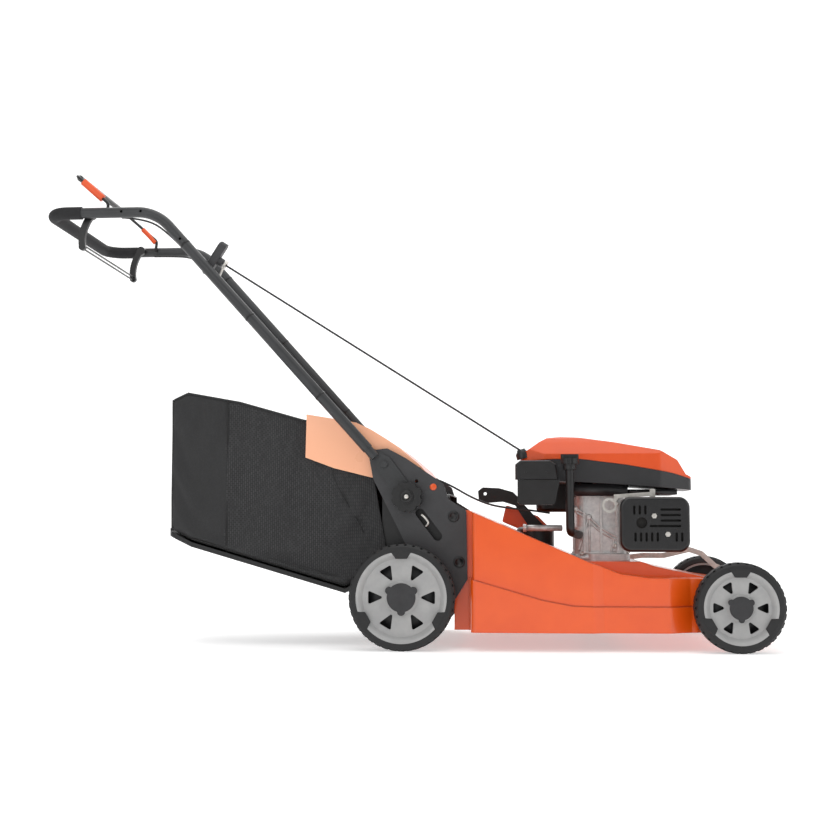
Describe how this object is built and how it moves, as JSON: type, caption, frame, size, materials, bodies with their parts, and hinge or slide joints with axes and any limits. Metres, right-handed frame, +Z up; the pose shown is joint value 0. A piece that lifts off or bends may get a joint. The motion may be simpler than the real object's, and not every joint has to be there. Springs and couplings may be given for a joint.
{
  "type": "rotary lawn mower",
  "caption": "Rear-bagging rotary lawn mower with a petrol engine, folding handle, two bails, rear flap, soft grass bag and single-lever cutting height adjustment.",
  "frame": {"origin": "on the ground under the middle of the mower's whole length and width", "axes": "+X forwards, +Y to the mower's left, +Z up"},
  "size_m": [1.6424, 0.579, 1.083],
  "materials": {
    "aluminium": "die cast aluminium",
    "bag_fabric": "black woven mesh",
    "belt_rubber": "rubber",
    "black_plastic": "black textured plastic",
    "black_steel": "black painted steel",
    "deck_paint": "orange gloss powder coat",
    "foam": "black foam grip",
    "grey_paint": "dark grey satin powder coat",
    "grey_plastic": "dark grey moulded plastic",
    "light_plastic": "light grey moulded plastic",
    "orange_plastic": "glossy orange plastic",
    "rope": "braided cord",
    "steel": "bare steel",
    "tyre": "moulded tread tyre",
    "zinc": "zinc plated steel"
  },
  "bodies": {
    "deck": {"deck_shell": "deck_paint", "side_plate_right": "grey_paint", "side_plate_left": "grey_paint", "discharge_chute": "black_plastic", "height_quadrant": "deck_paint", "front_bearing_blocks": "black_plastic", "crankcase": "aluminium", "cylinder_head": "aluminium", "spark_plug": "belt_rubber", "blower_shroud": "grey_plastic", "top_cover": "orange_plastic", "air_filter_box": "black_plastic", "air_filter_lid": "black_plastic", "fuel_tank": "black_plastic", "oil_filler_tube": "black_plastic", "muffler": "steel", "muffler_guard": "black_steel", "guard_screws": "zinc", "exhaust_bracket": "zinc", "belt_cover": "black_plastic", "drive_belt": "belt_rubber", "control_cables": "black_plastic"},
    "blade_shaft": {"crankshaft": "steel", "engine_pulley": "steel", "blade": "black_steel", "blade_bolt": "zinc"},
    "rear_axle": {"rear_axle_frame": "black_steel", "gearbox": "black_plastic"},
    "drive_shaft": {"drive_shaft": "steel"},
    "front_axle": {"front_axle": "black_steel"},
    "height_link": {"height_link": "zinc"},
    "height_lever": {"height_lever": "black_plastic"},
    "handle": {"handle_tube": "grey_paint", "handle_feet": "grey_paint", "grip_sleeve": "foam", "rope_guide": "zinc", "starter_rope": "rope"},
    "lock_knob_right": {"lock_knob_right": "black_plastic"},
    "lock_knob_left": {"lock_knob_left": "black_plastic"},
    "engine_bail": {"engine_bail": "black_plastic", "bail_lever": "orange_plastic"},
    "drive_bail": {"drive_bail": "black_plastic"},
    "rear_flap": {"rear_flap": "orange_plastic"},
    "grass_bag": {"grass_bag": "bag_fabric", "bag_base": "black_plastic"},
    "starter_grip": {"starter_grip": "grey_plastic"},
    "dipstick_cap": {"dipstick_cap": "black_plastic"},
    "fuel_cap": {"fuel_cap": "black_plastic"},
    "rear_right_wheel": {"rear_right_tyre": "tyre", "rear_right_rim": "light_plastic", "rear_right_cap": "grey_plastic"},
    "rear_left_wheel": {"rear_left_tyre": "tyre", "rear_left_rim": "light_plastic", "rear_left_cap": "grey_plastic"},
    "front_right_wheel": {"front_right_tyre": "tyre", "front_right_rim": "light_plastic", "front_right_cap": "grey_plastic"},
    "front_left_wheel": {"front_left_tyre": "tyre", "front_left_rim": "light_plastic", "front_left_cap": "grey_plastic"}
  },
  "joints": [
    {"name": "blade_spin", "type": "hinge", "parent": "deck", "child": "blade_shaft", "pos_m": [0.45, 0, 0.06], "axis": [0, 0, 1], "continuous": true},
    {"name": "rear_height_swing", "type": "hinge", "parent": "deck", "child": "rear_axle", "pos_m": [0.068, 0, 0.126], "axis": [0, 1, 0], "range_deg": [-22, 15], "deforming": ["drive_belt", "control_cables"]},
    {"name": "front_height_swing", "type": "hinge", "parent": "deck", "child": "front_axle", "pos_m": [0.784, 0, 0.107], "axis": [0, 1, 0], "range_deg": [-22, 15]},
    {"name": "link_swing", "type": "hinge", "parent": "rear_axle", "child": "height_link", "pos_m": [0.048, 0.1845, 0.179], "axis": [0, 1, 0], "range_deg": [-15, 22]},
    {"name": "height_lever_swing", "type": "hinge", "parent": "deck", "child": "height_lever", "pos_m": [0.31, 0.191, 0.26], "axis": [0, 1, 0], "range_deg": [-9.3, 13.64]},
    {"name": "drive_shaft_spin", "type": "hinge", "parent": "rear_axle", "child": "drive_shaft", "pos_m": [0.01, 0, 0.1143], "axis": [0, 1, 0], "continuous": true},
    {"name": "rear_right_spin", "type": "hinge", "parent": "rear_axle", "child": "rear_right_wheel", "pos_m": [0.01, -0.265, 0.1143], "axis": [0, 1, 0], "continuous": true},
    {"name": "rear_left_spin", "type": "hinge", "parent": "rear_axle", "child": "rear_left_wheel", "pos_m": [0.01, 0.265, 0.1143], "axis": [0, 1, 0], "continuous": true},
    {"name": "front_right_spin", "type": "hinge", "parent": "front_axle", "child": "front_right_wheel", "pos_m": [0.726, -0.265, 0.09525], "axis": [0, 1, 0], "continuous": true},
    {"name": "front_left_spin", "type": "hinge", "parent": "front_axle", "child": "front_left_wheel", "pos_m": [0.726, 0.265, 0.09525], "axis": [0, 1, 0], "continuous": true},
    {"name": "handle_fold", "type": "hinge", "parent": "deck", "child": "handle", "pos_m": [0.017, 0, 0.331], "axis": [0, 1, 0], "range_deg": [0, 120], "deforming": ["control_cables", "starter_rope"]},
    {"name": "right_knob_turn", "type": "hinge", "parent": "deck", "child": "lock_knob_right", "pos_m": [0.017, -0.214, 0.331], "axis": [0, 1, 0], "continuous": true},
    {"name": "left_knob_turn", "type": "hinge", "parent": "deck", "child": "lock_knob_left", "pos_m": [0.017, 0.214, 0.331], "axis": [0, 1, 0], "continuous": true},
    {"name": "engine_bail_squeeze", "type": "hinge", "parent": "handle", "child": "engine_bail", "pos_m": [-0.677, 0, 0.98], "axis": [0, 1, 0], "range_deg": [-36, 0], "stiffness_Nm_per_rad": 2, "springref_deg": 20.05},
    {"name": "drive_bail_squeeze", "type": "hinge", "parent": "handle", "child": "drive_bail", "pos_m": [-0.714, 0, 0.98], "axis": [0, 1, 0], "range_deg": [0, 40], "stiffness_Nm_per_rad": 1.5, "springref_deg": -20.05, "deforming": ["control_cables"]},
    {"name": "flap_lift", "type": "hinge", "parent": "deck", "child": "rear_flap", "pos_m": [0.074, 0, 0.353], "axis": [0, 1, 0], "range_deg": [0, 65], "stiffness_Nm_per_rad": 1, "springref_deg": -68.75},
    {"name": "bag_lift_off", "type": "slide", "parent": "deck", "child": "grass_bag", "axis": [-1, 0, 0], "range_m": [0, 0.35]},
    {"name": "starter_pull", "type": "slide", "parent": "handle", "child": "starter_grip", "axis": [-0.6211, 0.0601, 0.7814], "range_m": [0, 0.5], "stiffness_N_per_m": 8, "springref_m": -0.1, "deforming": ["starter_rope"]},
    {"name": "dipstick_turn", "type": "hinge", "parent": "deck", "child": "dipstick_cap", "pos_m": [0.376, -0.172, 0.4043], "axis": [0, 0, 1], "continuous": true},
    {"name": "fuel_cap_turn", "type": "hinge", "parent": "deck", "child": "fuel_cap", "pos_m": [0.362, 0.16, 0.4113], "axis": [0, 0, 1], "continuous": true}
  ],
  "couplings": [
    {"joint": "front_height_swing", "follows": "rear_height_swing", "ratio": 1},
    {"joint": "link_swing", "follows": "rear_height_swing", "ratio": -1},
    {"joint": "height_lever_swing", "follows": "rear_height_swing", "ratio": -0.62}
  ]
}
